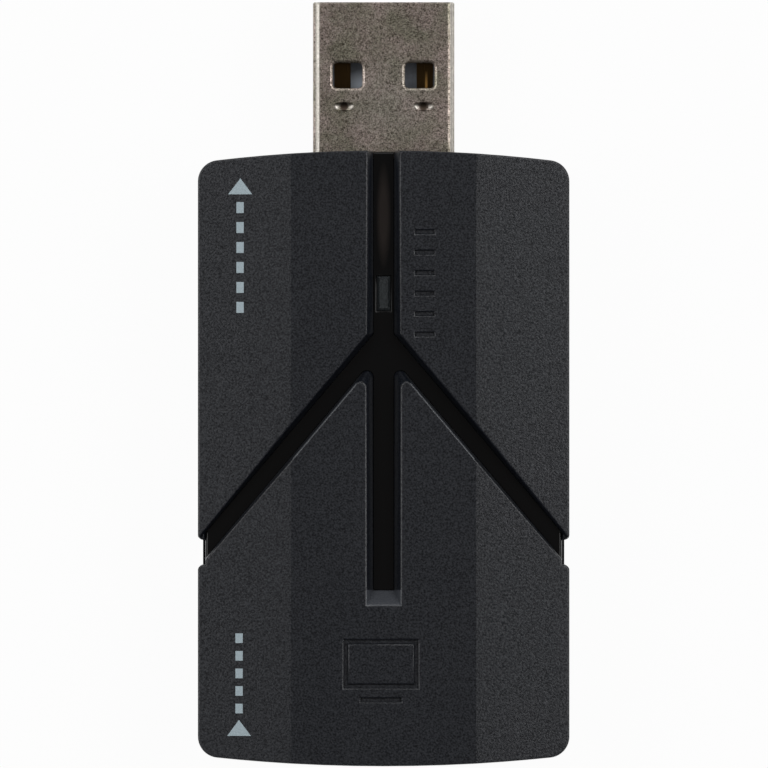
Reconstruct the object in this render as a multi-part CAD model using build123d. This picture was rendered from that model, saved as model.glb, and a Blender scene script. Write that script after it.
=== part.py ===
from build123d import *
import math
import os

# Video capture box, in millimetres. It lies on its underside: +Z is up, +Y points to the plug
# and +X to the right. The origin is the centre of the underside.

# Case: overall form
case_width = 31.5
case_length = 52.2
case_height = 13.0
plateau_width = 15.7
flank_drop = 1.0
crease_radius = 5.0
plug_end_bow = 1.03
socket_end_bow = 0.9
corner_radius = 1.8
edge_bevel = 0.3

# Case: walls and joint between the halves
case_wall = 1.5
plug_end_wall = 2.0
inner_corner_radius = 0.6
seam_bevel = 0.12
lip_height = 0.8
lip_thickness = 0.7
lip_gap = 0.3
snap_bead_height = 0.22
snap_bead_length = 5.0
snap_bead_place_shares = [-0.72, 0.05, 0.62]

# Y-shaped channel and its inlay
channel_depth = 1.6
channel_width = 2.89
channel_floor_width = 1.76
channel_end_setback = 14.92
channel_end_slope_length = 1.28
arm_angle = 40.2
arm_apex_setback = 15.45
arm_width = 1.94
arm_upper_draft_width = 0.36
arm_lower_draft_width = 0.18
arm_tip_radius = 0.55
trough_wall = 0.9
inlay_thickness = 0.6
inlay_fold_radius = 0.25
inlay_end_recess = 0.1

# Notches in the two sides, where the channel folds down
notch_depth = 0.63
notch_width = 2.12
notch_shift = 0.01
notch_mouth_radius = 0.45
notch_pad = 0.8

# Status window
light_setback = 12.12
light_width = 1.2
light_length = 3.0
light_bevel = 0.2
light_stand = 0.1
light_flange = 0.5
light_flange_thickness = 0.6

# Plug
plug_width = 12.0
plug_height = 4.5
plug_sheet = 0.3
plug_corner_radius = 0.65
plug_reach = 12.6
plug_depth = 6.5
plug_tip_bevel = 0.12
plug_window_width = 2.5
plug_window_length = 2.15
plug_window_spacing = 6.12
plug_window_setback = 5.15
plug_window_radius = 0.4
plug_window_bevel = 0.12
plug_dimple_length = 1.7
plug_dimple_width = 0.76
plug_dimple_depth = 0.16
plug_dimple_spacing = 6.74
plug_dimple_setback = 8.86
plug_leg_width = 1.2
plug_leg_setback = 4.6
plug_seam = 0.06
tongue_gap = 1.95
tongue_setback = 0.4
tongue_side_gap = 0.15
tongue_nose = 0.4
plug_block_reach = 1.0
plug_heel = 1.5
contact_thickness = 0.2
contact_width = 1.4
outer_contact_spacing = 7.0
inner_contact_spacing = 2.0
outer_contact_setback = 1.2
inner_contact_setback = 2.2
contact_tail = 1.1

# Video socket
mouth_width = 14.0
mouth_height = 4.55
mouth_corner_width = 1.6
mouth_corner_height = 1.75
socket_sheet = 0.35
socket_bend_radius = 0.3
socket_depth = 11.6
socket_recess = 0.35
socket_leg_width = 1.3
socket_front_leg_setback = 3.9
socket_rear_leg_setback = 9.6
socket_block_depth = 3.4
socket_tongue_width = 11.0
socket_tongue_thickness = 1.9
socket_tongue_setback = 1.6
socket_tongue_nose = 0.3
socket_contact_pitch = 1.0
socket_contact_width = 0.36
socket_contact_thickness = 0.18
socket_contact_setback = 0.7
socket_upper_contact_count = 10
socket_lower_contact_count = 9
socket_row_spacing = 0.9
socket_tail = 1.0
finger_width = 1.7
finger_length = 4.2
finger_setback = 2.4
finger_spacing = 6.6
finger_slit = 0.3
finger_dip = 0.45
finger_curl = 0.8
mouth_bevel = 0.15
tail_slot_depth = 2.2
tail_slot_height = 0.6

# Board and the posts that hold it
board_thickness = 1.2
board_side_gap = 0.4
board_end_gap = 0.35
board_corner_radius = 1.0
post_width = 2.6
post_inset = 2.3
pin_radius = 0.55
pin_rise = 0.7
column_wall = 0.75
leg_stub_length = 0.6

# Chips on the board
chip_width = 7.0
chip_height = 1.4
chip_stand_off = 0.1
chip_edge_bevel = 0.2
chip_place_shares = (0.0, 0.08)
chip_lead_count = 8
chip_lead_pitch = 0.8
chip_lead_width = 0.35
lead_thickness = 0.15
lead_reach = 1.0
lead_shoulder = 0.3
lead_foot = 0.4
pin_one_radius = 0.4
pin_one_depth = 0.08
memory_width = 3.9
memory_length = 4.9
memory_place_shares = (0.6, -0.12)
memory_lead_count = 4
memory_lead_pitch = 1.27
memory_lead_width = 0.42
regulator_width = 1.6
regulator_length = 2.9
regulator_height = 1.1
regulator_lead_reach = 0.9
regulator_lead_width = 0.4
regulator_lead_pitch = 0.95
regulator_place_shares = (0.62, 0.42)
crystal_width = 2.5
crystal_length = 3.2
crystal_height = 0.8
crystal_lid_height = 0.25
crystal_rim = 0.2
crystal_place_shares = (-0.62, 0.0)
inductor_width = 4.0
inductor_height = 1.8
inductor_corner = 0.6
inductor_end = 0.3
inductor_place_shares = (0.6, 0.2)
status_chip_width = 0.8
status_chip_length = 1.6
status_chip_height = 0.6
status_lens_length = 1.0
status_lens_height = 0.25
light_gap = 0.4
surge_width = 1.0
surge_length = 2.5
surge_height = 0.5
surge_row_shares = [-0.42, -0.14, 0.14, 0.42]
surge_line_share = -0.49
small_part_width = 0.8
small_part_length = 1.6
small_part_height = 0.7
small_part_end = 0.35
small_part_skin = 0.03
resistor_height = 0.45
capacitor_place_shares = [
    (-0.47, 0.16), (-0.47, 0.08), (-0.47, -0.08), (0.3, 0.36), (0.8, 0.3), (-0.2, 0.36), (0.2, 0.36),
    (-0.2, -0.24), (0.2, -0.24), (-0.8, 0.1), (-0.8, -0.1), (0.78, 0.55), (0.46, 0.55), (-0.75, 0.62),
]
resistor_place_shares = [
    (-0.3, -0.36), (-0.1, -0.36), (0.1, -0.36), (0.3, -0.36), (-0.7, 0.24), (-0.7, 0.32), (-0.4, 0.4),
    (-0.55, -0.24), (-0.75, -0.24), (0.36, 0.68), (-0.3, 0.66),
]

# Clearances, and the overrun of every cutter past the face that it cuts
fit = 0.05
opening_fit = 0.1
slot_fit = 0.12
overrun = 1.0

# Places worked out from the sizes above
half_width = case_width / 2
half_length = case_length / 2
half_plateau = plateau_width / 2
parting_z = case_height / 2
axis_z = parting_z
floor_z = case_height - channel_depth
inlay_seat_z = floor_z - inlay_thickness
recess_x = half_width - notch_depth
recess_y = half_length - inlay_end_recess
apex_y = half_length - arm_apex_setback
channel_end_y = channel_end_setback - half_length
light_y = half_length - light_setback

plug_tip_y = half_length + plug_reach
plug_back_y = half_length - plug_depth
plug_inner_width = plug_width - 2 * plug_sheet
plug_inner_height = plug_height - 2 * plug_sheet
plug_floor_z = axis_z - plug_inner_height / 2
plug_tongue_z = plug_floor_z + plug_inner_height - tongue_gap
plug_heel_y = plug_back_y - plug_heel

socket_height = mouth_height + 2 * socket_sheet
mouth_y = socket_recess - half_length
socket_back_y = mouth_y + socket_depth
socket_block_y = socket_back_y - socket_block_depth
socket_tongue_top = axis_z + socket_tongue_thickness / 2
socket_tongue_bottom = axis_z - socket_tongue_thickness / 2

board_top = axis_z - socket_height / 2
board_bottom = board_top - board_thickness
board_half_width = half_width - case_wall - board_side_gap
board_front = half_length - plug_end_wall - plug_end_bow - board_end_gap
board_back = case_wall + socket_end_bow + board_end_gap - half_length
board_middle = (board_front + board_back) / 2
board_half_length = (board_front - board_back) / 2
post_places = [
    (side * (board_half_width - post_inset), end)
    for side in (-1, 1)
    for end in (board_front - post_inset, board_back + post_inset)
]


def along_x(sketch, width, center=0):
    """A YZ outline carried along X, evenly about center."""
    return Pos(center, 0, 0) * extrude(Plane.YZ * sketch, width / 2, both=True)


def along_y(sketch, start, end):
    """An XZ outline carried along Y from start to end."""
    return extrude(Plane.XZ.offset(-start) * sketch, start - end)


def along_z(sketch, bottom, top):
    """An XY outline carried up from bottom to top."""
    return extrude(Pos(0, 0, bottom) * sketch, top - bottom)


def block(x_from, x_to, y_from, y_to, z_from, z_to):
    """A plain block between six planes."""
    middle = Pos((x_from + x_to) / 2, (y_from + y_to) / 2, (z_from + z_to) / 2)
    return middle * Box(x_to - x_from, y_to - y_from, z_to - z_from)


def carved(solid, cutters):
    """The solid with each cutter taken out in turn."""
    for cutter in cutters:
        solid = solid - cutter
    return solid


def joined(solid, additions):
    """The solid with each addition joined on in turn."""
    for addition in additions:
        solid = solid + addition
    return solid


def both_sides(solid):
    """The solid and its mirror image across the middle plane."""
    return [solid, mirror(solid, about=Plane.YZ)]


def bent_strip(points, thickness, width, center=0):
    """A strip of sheet bent along points in the YZ plane."""
    return along_x(trace(Polyline(*points), thickness), width, center)


def on_board(shares):
    """The XY place at these shares of the board's half width and half length."""
    return shares[0] * board_half_width, board_middle + shares[1] * board_half_length


def save(solid, node):
    """Write one piece, or one group of like pieces, under its node name."""
    export_step(solid, f"parts/{node}.step")


# Case forms
def plan_outline(side_inset=0, plug_inset=0, socket_inset=0):
    """The outline from above: straight sides, bowed ends and rounded corners."""
    x = half_width - side_inset
    plug_y = half_length - plug_inset
    socket_y = socket_inset - half_length
    plug_corner_y = plug_y - plug_end_bow
    socket_corner_y = socket_y + socket_end_bow
    plug_arc = ThreePointArc((-x, plug_corner_y), (0, plug_y), (x, plug_corner_y))
    right_side = Line((x, plug_corner_y), (x, socket_corner_y))
    socket_arc = ThreePointArc((x, socket_corner_y), (0, socket_y), (-x, socket_corner_y))
    left_side = Line((-x, socket_corner_y), (-x, plug_corner_y))
    outline = make_face([plug_arc, right_side, socket_arc, left_side])
    radius = max(corner_radius - side_inset, inner_corner_radius)
    return fillet(outline.vertices(), radius)


def cross_section(side_inset=0, face_inset=0):
    """The section across the case: a flat middle between sloping flanks, above and below."""
    x = half_width - side_inset
    top = case_height - face_inset
    slope = flank_drop / (half_width - half_plateau)
    side_top = top - slope * (x - half_plateau)
    upper = [(-x, side_top), (-half_plateau, top), (half_plateau, top), (x, side_top)]
    lower = [(px, case_height - pz) for px, pz in reversed(upper)]
    outline = make_face(Polyline(*upper, *lower, close=True))
    creases = outline.vertices().sort_by(lambda corner: abs(corner.X))[:4]
    return fillet(creases, crease_radius)


def case_form(side_inset=0, face_inset=0, plug_inset=0, socket_inset=0):
    """The whole case form, or one that lies inside it."""
    end = half_length + overrun
    length_form = along_y(cross_section(side_inset, face_inset), -end, end)
    plan = plan_outline(side_inset, plug_inset, socket_inset)
    return length_form & along_z(plan, -overrun, case_height + overrun)


def rim_edges(form):
    """The edges between the side wall and the top and bottom faces."""
    chosen = ShapeList()
    for edge in form.edges():
        middle, direction = edge @ 0.5, edge % 0.5
        upright = abs(direction.Z) > 0.9
        crease = abs(direction.Y) > 0.9 and abs(middle.X) < (half_width + half_plateau) / 2
        if not upright and not crease:
            chosen.append(edge)
    return chosen


def case_half(keep):
    """The upper or lower half of the outer form, bevelled round its rim and along the seam."""
    form = case_form()
    form = chamfer(rim_edges(form), edge_bevel)
    half = split(form, bisect_by=Plane.XY.offset(parting_z), keep=keep)
    levels = half.edges().group_by(Axis.Z)
    seam = levels[0] if keep == Keep.TOP else levels[-1]
    return chamfer(seam, seam_bevel)


def lip_outline(grow=0):
    """The outer outline of the lip that locates the halves."""
    inset = lip_thickness + grow
    return plan_outline(case_wall - inset, plug_end_wall - inset, case_wall - inset)


def snap_beads(height):
    """Sharp ridges along the lip, three to a side."""
    lip_x = half_width - case_wall + lip_thickness
    bar = height * math.sqrt(2)
    bead = Rot(0, 45, 0) * Box(bar, snap_bead_length, bar)
    places = [share * half_length for share in snap_bead_place_shares]
    right = [Pos(lip_x, y, parting_z + lip_height / 2) * bead for y in places]
    return [each for solid in right for each in both_sides(solid)]


# Y-shaped channel
def arm_offset_y(offset):
    """Where a line beside the arm's centre line, offset from it, meets the middle plane."""
    return apex_y + offset / math.sin(math.radians(arm_angle))


def chevron(upper_offset, lower_offset, reach):
    """The two slanted arms from above, out to reach on both sides."""
    fall = reach / math.tan(math.radians(arm_angle))
    upper_y = arm_offset_y(upper_offset)
    lower_y = arm_offset_y(-lower_offset)
    upper = [(-reach, upper_y - fall), (0, upper_y), (reach, upper_y - fall)]
    lower = [(reach, lower_y - fall), (0, lower_y), (-reach, lower_y - fall)]
    return make_face(Polyline(*upper, *lower, close=True))


def stem(width, low_end, high_end):
    """The straight arm from above."""
    return make_face(
        Polyline(
            (-width / 2, low_end), (width / 2, low_end), (width / 2, high_end), (-width / 2, high_end),
            close=True,
        )
    )


def blunt_tips(outline, stem_width, radius):
    """The channel from above with the two tips below its arms made blunt."""
    beside_stem = outline.vertices().filter_by(lambda corner: 0 < abs(corner.X) < stem_width)
    return fillet(beside_stem.group_by(Axis.Y)[1], radius)


def channel_level(stem_width, low_end, upper_offset, lower_offset):
    """The open part of the channel from above, at one level."""
    straight = stem(stem_width, low_end, half_length + overrun)
    outline = straight + chevron(upper_offset, lower_offset, half_width + overrun)
    return blunt_tips(outline, stem_width, arm_tip_radius)


def drafted_channel():
    """The open part of the channel, wider at the top than at its floor."""
    rise = (channel_depth + overrun) / channel_depth
    floor_upper = arm_width / 2 - arm_upper_draft_width
    floor_lower = arm_width / 2 - arm_lower_draft_width
    top_width = channel_floor_width + (channel_width - channel_floor_width) * rise
    top_end = channel_end_y - channel_end_slope_length * rise
    top_upper = floor_upper + arm_upper_draft_width * rise
    top_lower = floor_lower + arm_lower_draft_width * rise
    floor_level = channel_level(channel_floor_width, channel_end_y, floor_upper, floor_lower)
    top_level = channel_level(top_width, top_end, top_upper, top_lower)
    return loft([Pos(0, 0, floor_z) * floor_level, Pos(0, 0, case_height + overrun) * top_level], ruled=True)


def channel_plan(grow, reach, end):
    """The channel's floor from above, grown or drawn in all round."""
    floor_upper = arm_width / 2 - arm_upper_draft_width + grow
    floor_lower = arm_width / 2 - arm_lower_draft_width + grow
    stem_width = channel_floor_width + 2 * grow
    straight = stem(stem_width, channel_end_y - grow, end)
    slanted = chevron(floor_upper, floor_lower, half_width + overrun)
    outline = straight + (slanted & stem(2 * reach, -half_length, half_length))
    if grow < arm_tip_radius:
        outline = blunt_tips(outline, stem_width, arm_tip_radius - grow)
    return outline


def notch_y():
    """The middle of the side notches: where the slanted arms reach the sides."""
    return apex_y - half_width / math.tan(math.radians(arm_angle)) + notch_shift


def notch_cutter():
    """The right-hand notch from above, with rounded corners at its mouth."""
    recess = Pos(recess_x + half_width / 2, notch_y()) * Rectangle(half_width, notch_width)
    outside = Pos(half_width + overrun / 2, notch_y()) * Rectangle(overrun, notch_width + 2 * overrun)
    cutter = recess + outside
    mouth = cutter.vertices().filter_by(
        lambda corner: abs(corner.X - half_width) < notch_depth / 2
        and abs(corner.Y - notch_y()) < notch_width
    )
    return fillet(mouth, notch_mouth_radius)


# Connector outlines
def plug_outline(grow=0):
    """The plug's section, or one grown or drawn in all round."""
    return Pos(0, axis_z) * RectangleRounded(
        plug_width + 2 * grow, plug_height + 2 * grow, plug_corner_radius + grow
    )


def socket_outline(grow=0):
    """The video socket's opening: a wide slot with its two lower corners cut away."""
    x = mouth_width / 2
    z = mouth_height / 2
    points = [
        (-x, z), (x, z), (x, mouth_corner_height - z), (x - mouth_corner_width, -z),
        (mouth_corner_width - x, -z), (-x, mouth_corner_height - z),
    ]
    outline = make_face(Polyline(*points, close=True))
    if grow:
        outline = offset(outline, amount=grow, kind=Kind.INTERSECTION)
    return Pos(0, axis_z) * fillet(outline.vertices(), socket_bend_radius + grow)


def case_openings():
    """The two openings in the ends, shared by both halves."""
    plug_inside = half_length - plug_end_wall - plug_end_bow - overrun
    socket_inside = case_wall + socket_end_bow + overrun - half_length
    plug_hole = along_y(plug_outline(opening_fit), plug_inside, half_length + overrun)
    socket_hole = socket_outline(socket_sheet + opening_fit)
    return [plug_hole, along_y(socket_hole, -half_length - overrun, socket_inside)]


# Case pieces
def inner_core():
    """The case form drawn in by half a wall, so that inner ribs end inside the walls."""
    return case_form(case_wall / 2, case_wall / 2, case_wall / 2, case_wall / 2)


def hollow():
    """The space inside the case."""
    return case_form(case_wall, case_wall, plug_end_wall, case_wall)


def notch_cutters():
    """Both side notches, through the full height."""
    return both_sides(along_z(notch_cutter(), -overrun, case_height + overrun))


def side_legs(grow, depth_grow, bottom, top):
    """The parts of the channel that fold down the sides, or the pockets for them."""
    half = notch_width / 2 + grow
    inner_x = recess_x - inlay_thickness - depth_grow
    return both_sides(block(inner_x, recess_x, notch_y() - half, notch_y() + half, bottom, top))


def front_leg(grow, outer_y, bottom, top):
    """The part of the channel that folds down the plug end, or the pocket for it."""
    half = channel_floor_width / 2 + grow
    return block(-half, half, recess_y - inlay_thickness, outer_y, bottom, top)


def light_hole(grow, bottom, top):
    """The window's upright hole, or what fills it."""
    outline = Pos(0, light_y) * Rectangle(light_width + 2 * grow, light_length + 2 * grow)
    return along_z(outline, bottom, top)


def board_pocket():
    """The room that the board and its side gap need inside the case."""
    width = 2 * board_half_width + board_side_gap
    length = 2 * board_half_length + board_end_gap
    return along_z(Pos(0, board_middle) * Rectangle(width, length), board_bottom, parting_z)


def columns():
    """Square columns that press the board onto its posts, each bored for the pin under it."""
    bore = pin_radius + opening_fit
    width = 2 * (bore + column_wall)
    ring = Rectangle(width, width) - Circle(bore)
    return [along_z(Pos(*place) * ring, board_top, case_height) for place in post_places]


def upper_shell():
    """The top half: faceted roof, Y-shaped trough, notches and hold-down columns."""
    rabbet = along_z(lip_outline(fit), parting_z - overrun, parting_z + lip_height + fit)
    shell = carved(case_half(Keep.TOP), [hollow(), rabbet, *snap_beads(snap_bead_height + fit)])
    trough_bottom = inlay_seat_z - trough_wall
    trough_block = along_z(channel_plan(trough_wall, half_width, half_length), trough_bottom, case_height)
    pads = side_legs(notch_pad, notch_pad, parting_z, case_height)
    core = inner_core()
    shell = joined(shell, [piece & core for piece in [trough_block, *pads, *columns()]])
    trough = along_z(channel_plan(0, recess_x, half_length + overrun), inlay_seat_z, floor_z)
    pockets = side_legs(0, 0, parting_z - overrun, floor_z)
    end_groove = front_leg(0, half_length + overrun, axis_z, case_height + overrun)
    window = light_hole(0, trough_bottom - overrun, floor_z)
    cutters = [drafted_channel(), trough, *pockets, end_groove, window, *notch_cutters(), *case_openings()]
    return carved(shell, cutters)


def lower_shell():
    """The bottom half: faceted floor, locating lip with snap beads, and board posts with pins."""
    ring = lip_outline() - plan_outline(case_wall, plug_end_wall, case_wall)
    lip = joined(along_z(ring, parting_z, parting_z + lip_height), snap_beads(snap_bead_height))
    half_gap = notch_width / 2 + notch_pad + lip_gap
    gaps = block(-half_width, half_width, notch_y() - half_gap, notch_y() + half_gap, parting_z, case_height)
    core = inner_core()
    post = Rectangle(post_width, post_width)
    posts = [along_z(Pos(*place) * post, 0, board_bottom) & core for place in post_places]
    pin_top = board_top + pin_rise
    pins = [along_z(Pos(*place) * Circle(pin_radius), board_bottom, pin_top) for place in post_places]
    shell = carved(case_half(Keep.BOTTOM), [hollow(), board_pocket()])
    shell = joined(shell, [lip - gaps, *posts, *pins])
    return carved(shell, [*notch_cutters(), *case_openings()])


def groove_inlay():
    """The glossy strip on the channel floor, folded down the two sides and the plug end."""
    plate = along_z(channel_plan(-fit, recess_x, recess_y), inlay_seat_z, floor_z)
    legs = side_legs(-fit, 0, parting_z + fit, floor_z)
    plug_top = axis_z + plug_height / 2 + opening_fit
    inlay = plate + legs + front_leg(-fit, recess_y, plug_top, floor_z)
    folds = [
        edge for edge in inlay.edges().group_by(Axis.Z)[-1]
        if abs(abs(edge.center().X) - recess_x) < fit or abs(edge.center().Y - recess_y) < fit
    ]
    return fillet(folds, inlay_fold_radius) - light_hole(0, inlay_seat_z, floor_z)


def status_light_guide():
    """The clear rod of the status window, with a flange under the trough."""
    rod_bottom = board_top + status_chip_height + status_lens_height + light_gap
    flange_top = inlay_seat_z - trough_wall
    rod = light_hole(-fit, rod_bottom, floor_z + light_stand)
    rod = chamfer(rod.edges().group_by(Axis.Z)[-1], light_bevel)
    return rod + light_hole(light_flange, flange_top - light_flange_thickness, flange_top)


# Plug pieces
def plug_shell():
    """The folded steel shell, seamed underneath, with windows, dimples and two legs to the board."""
    tube = along_y(plug_outline(), plug_back_y, plug_tip_y)
    tube = chamfer(tube.faces().sort_by(Axis.Y)[-1].edges(), plug_tip_bevel)
    tube = tube - along_y(plug_outline(-plug_sheet), plug_back_y - overrun, plug_tip_y + overrun)
    seam_outline = Pos(0, axis_z - plug_height / 2) * Rectangle(plug_seam, plug_height)
    seam = along_y(seam_outline, plug_back_y - overrun, plug_tip_y + overrun)
    tube = carved(tube, [seam, *plug_windows(), *plug_dimples(plug_height / 2)])
    return joined(tube, [*plug_bumps(), *both_sides(plug_leg())])


def plug_leg():
    """The right-hand leg from the shell's side down through the board."""
    x = plug_width / 2
    y = half_length - plug_leg_setback
    half = plug_leg_width / 2
    return block(x - plug_sheet, x, y - half, y + half, board_bottom - leg_stub_length, axis_z)


def plug_windows():
    """Two windows through both faces, with the outer edges of the upper ones bevelled."""
    y = plug_tip_y - plug_window_setback - plug_window_length / 2
    outline = RectangleRounded(plug_window_width, plug_window_length, plug_window_radius)
    mouth = RectangleRounded(
        plug_window_width + 2 * plug_window_bevel,
        plug_window_length + 2 * plug_window_bevel,
        plug_window_radius + plug_window_bevel,
    )
    face_z = axis_z + plug_height / 2
    cutters = []
    for x in (-plug_window_spacing / 2, plug_window_spacing / 2):
        cutters.append(along_z(Pos(x, y) * outline, axis_z - plug_height, axis_z + plug_height))
        cutters.append(loft([Pos(x, y, face_z - plug_window_bevel) * outline, Pos(x, y, face_z) * mouth]))
    return cutters


def plug_dimple_places():
    """Where the dimples are pressed in, from above."""
    y = plug_tip_y - plug_dimple_setback
    return [(side * plug_dimple_spacing / 2, y) for side in (-1, 1)]


def plug_dimples(level):
    """The hollows of the pressed dimples in the upper face, down from level above the plug's axis."""
    outline = SlotOverall(plug_dimple_length, plug_dimple_width)
    top = axis_z + level
    return [along_z(Pos(*place) * outline, top - plug_dimple_depth, top) for place in plug_dimple_places()]


def plug_bumps():
    """The same dimples where they stand out inside."""
    return plug_dimples(plug_height / 2 - plug_sheet)


def contact_strip(x, setback):
    """One plug contact: along the tongue, down behind the shell and out over the board."""
    strip_z = plug_tongue_z - contact_thickness / 2
    down_y = plug_heel_y + plug_heel / 2
    foot_z = board_top + contact_thickness / 2
    nose_y = plug_tip_y - setback
    tail_y = plug_heel_y - contact_tail
    points = [(nose_y, strip_z), (down_y, strip_z), (down_y, foot_z), (tail_y, foot_z)]
    return bent_strip(points, contact_thickness, contact_width, x)


def plug_contacts():
    """The four contacts by node name."""
    outer_x = outer_contact_spacing / 2
    inner_x = inner_contact_spacing / 2
    return {
        "power_contact": contact_strip(-outer_x, outer_contact_setback),
        "data_minus_contact": contact_strip(-inner_x, inner_contact_setback),
        "data_plus_contact": contact_strip(inner_x, inner_contact_setback),
        "ground_contact": contact_strip(outer_x, outer_contact_setback),
    }


def plug_insulator():
    """The plug's tongue, the block that fills the shell behind it, and the heel on the board."""
    half = plug_inner_width / 2 - tongue_side_gap
    nose_y = plug_tip_y - tongue_setback
    block_y = half_length + plug_block_reach
    tongue = block(-half, half, block_y, nose_y, plug_floor_z, plug_tongue_z)
    tongue = tongue & along_y(plug_outline(-plug_sheet), block_y, nose_y)
    upper_nose = tongue.edges().filter_by(Axis.X).group_by(Axis.Y)[-1].sort_by(Axis.Z)[-1]
    tongue = chamfer(upper_nose, tongue_nose)
    filling = along_y(plug_outline(-plug_sheet - fit), plug_back_y, block_y)
    heel = block(-half, half, plug_heel_y, plug_back_y, board_top, axis_z + plug_inner_height / 2 - fit)
    body = joined(tongue, [filling, heel])
    return carved(body, [*plug_contacts().values(), *plug_bumps()])


# Video socket pieces
def spring_finger(x):
    """One spring finger in the socket's roof: root at the back, tip dipped and curled at the front."""
    wall_z = axis_z + mouth_height / 2 + socket_sheet / 2
    tip_y = mouth_y + finger_setback
    root_y = tip_y + finger_length
    dip_z = wall_z - finger_dip
    lifted_z = dip_z + finger_dip / 2
    curl_y = tip_y + finger_curl
    points = [(root_y + finger_slit, wall_z), (root_y, wall_z), (curl_y, dip_z), (tip_y, lifted_z)]
    return bent_strip(points, socket_sheet, finger_width, x)


def finger_window(x):
    """The gap that the finger is cut free in."""
    wall_z = axis_z + mouth_height / 2
    half = finger_width / 2 + finger_slit
    tip_y = mouth_y + finger_setback
    root_y = tip_y + finger_length
    return block(x - half, x + half, tip_y - finger_slit, root_y, wall_z - overrun, wall_z + overrun)


def top_and_bottom(solids):
    """The solids, and the same turned over for the socket's floor."""
    return solids + [mirror(solid, about=Plane.XY.offset(axis_z)) for solid in solids]


def tail_slot(grow):
    """The opening at the back of the socket's floor, where the contact tails come out."""
    half = socket_contact_pitch * socket_upper_contact_count / 2 + grow
    low_y = socket_back_y - tail_slot_depth - grow
    return half, low_y


def socket_shell():
    """The folded steel shell of the video socket, closed at the back, with legs to the board."""
    tube = along_y(socket_outline(socket_sheet), mouth_y, socket_back_y + socket_sheet)
    tube = tube - along_y(socket_outline(), mouth_y - overrun, socket_back_y)
    mouth_edges = tube.faces().sort_by(Axis.Y)[0].inner_wires()[0].edges()
    tube = chamfer(mouth_edges, mouth_bevel)
    half, low_y = tail_slot(0)
    slot_top = board_top + tail_slot_height
    slot = block(-half, half, low_y, socket_back_y + overrun, board_top - overrun, slot_top)
    places = [-finger_spacing / 2, finger_spacing / 2]
    windows = top_and_bottom([finger_window(x) for x in places])
    fingers = top_and_bottom([spring_finger(x) for x in places])
    legs = [solid for y in socket_leg_places() for solid in both_sides(socket_leg(y))]
    return joined(carved(tube, [slot, *windows]), [*fingers, *legs])


def socket_leg_places():
    """Where the socket's legs stand along Y."""
    return [mouth_y + socket_front_leg_setback, mouth_y + socket_rear_leg_setback]


def socket_leg(y):
    """A right-hand leg from the socket's side wall down through the board."""
    half = socket_leg_width / 2
    x = mouth_width / 2
    return block(x, x + socket_sheet, y - half, y + half, board_bottom - leg_stub_length, axis_z)


def socket_contact_row(count, strip_z, down_y):
    """A row of contacts: along the tongue, down inside the block and out over the board."""
    nose_y = mouth_y + socket_tongue_setback + socket_contact_setback
    foot_z = board_top + socket_contact_thickness / 2
    points = [(nose_y, strip_z), (down_y, strip_z), (down_y, foot_z), (socket_back_y + socket_tail, foot_z)]
    places = [socket_contact_pitch * (index - (count - 1) / 2) for index in range(count)]
    return [bent_strip(points, socket_contact_thickness, socket_contact_width, x) for x in places]


def socket_upper_contacts():
    """The row on the tongue's upper face."""
    down_y = socket_back_y - socket_contact_thickness * 2
    return socket_contact_row(
        socket_upper_contact_count, socket_tongue_top - socket_contact_thickness / 2, down_y
    )


def socket_lower_contacts():
    """The row on the tongue's lower face."""
    down_y = socket_back_y - socket_contact_thickness * 2 - socket_row_spacing
    return socket_contact_row(
        socket_lower_contact_count, socket_tongue_bottom + socket_contact_thickness / 2, down_y
    )


def socket_insulator():
    """The block at the back of the socket and the tongue that carries the contacts."""
    half = socket_tongue_width / 2
    nose_y = mouth_y + socket_tongue_setback
    tongue = block(-half, half, nose_y, socket_block_y, socket_tongue_bottom, socket_tongue_top)
    tongue = chamfer(tongue.edges().filter_by(Axis.X).group_by(Axis.Y)[0], socket_tongue_nose)
    filling = along_y(socket_outline(-fit), socket_block_y, socket_back_y)
    half_base, low_y = tail_slot(-fit)
    base = block(-half_base, half_base, low_y, socket_back_y, board_top, axis_z)
    body = joined(tongue, [filling, base])
    return carved(body, [*socket_upper_contacts(), *socket_lower_contacts()])


# Board and the parts on it
def circuit_board():
    """The board, with holes for the pins and slots for the connectors' legs."""
    outline = RectangleRounded(2 * board_half_width, 2 * board_half_length, board_corner_radius)
    board = along_z(Pos(0, board_middle) * outline, board_bottom, board_top)
    holes = [Pos(*place) * Circle(pin_radius + opening_fit) for place in post_places]
    plug_slot = Rectangle(plug_sheet + 2 * slot_fit, plug_leg_width + 2 * slot_fit)
    socket_slot = Rectangle(socket_sheet + 2 * slot_fit, socket_leg_width + 2 * slot_fit)
    for side in (-1, 1):
        holes.append(Pos(side * (plug_width - plug_sheet) / 2, half_length - plug_leg_setback) * plug_slot)
        for y in socket_leg_places():
            holes.append(Pos(side * (mouth_width + socket_sheet) / 2, y) * socket_slot)
    return carved(board, [along_z(hole, board_bottom - overrun, board_top + overrun) for hole in holes])


def chip_body(width, length, height):
    """A moulded chip body with bevelled edges and a round mark at its first pin."""
    bottom = board_top + chip_stand_off
    body = along_z(Rectangle(width, length), bottom, bottom + height)
    body = chamfer(body.edges().group_by(Axis.Z)[-1], chip_edge_bevel)
    inset = chip_edge_bevel + 2 * pin_one_radius
    mark = Pos(inset - width / 2, length / 2 - inset) * Circle(pin_one_radius)
    return body - along_z(mark, bottom + height - pin_one_depth, bottom + height + overrun)


def lead_row(count, pitch, width, start, height, reach):
    """A row of bent leads along X that leaves a body face at Y = start."""
    shoulder_z = board_top + chip_stand_off + height / 2
    foot_z = board_top + lead_thickness / 2
    bend = start + lead_shoulder
    toe = start + reach
    points = [(start, shoulder_z), (bend, shoulder_z), (toe - lead_foot, foot_z), (toe, foot_z)]
    places = [pitch * (index - (count - 1) / 2) for index in range(count)]
    return [bent_strip(points, lead_thickness, width, x) for x in places]


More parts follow.
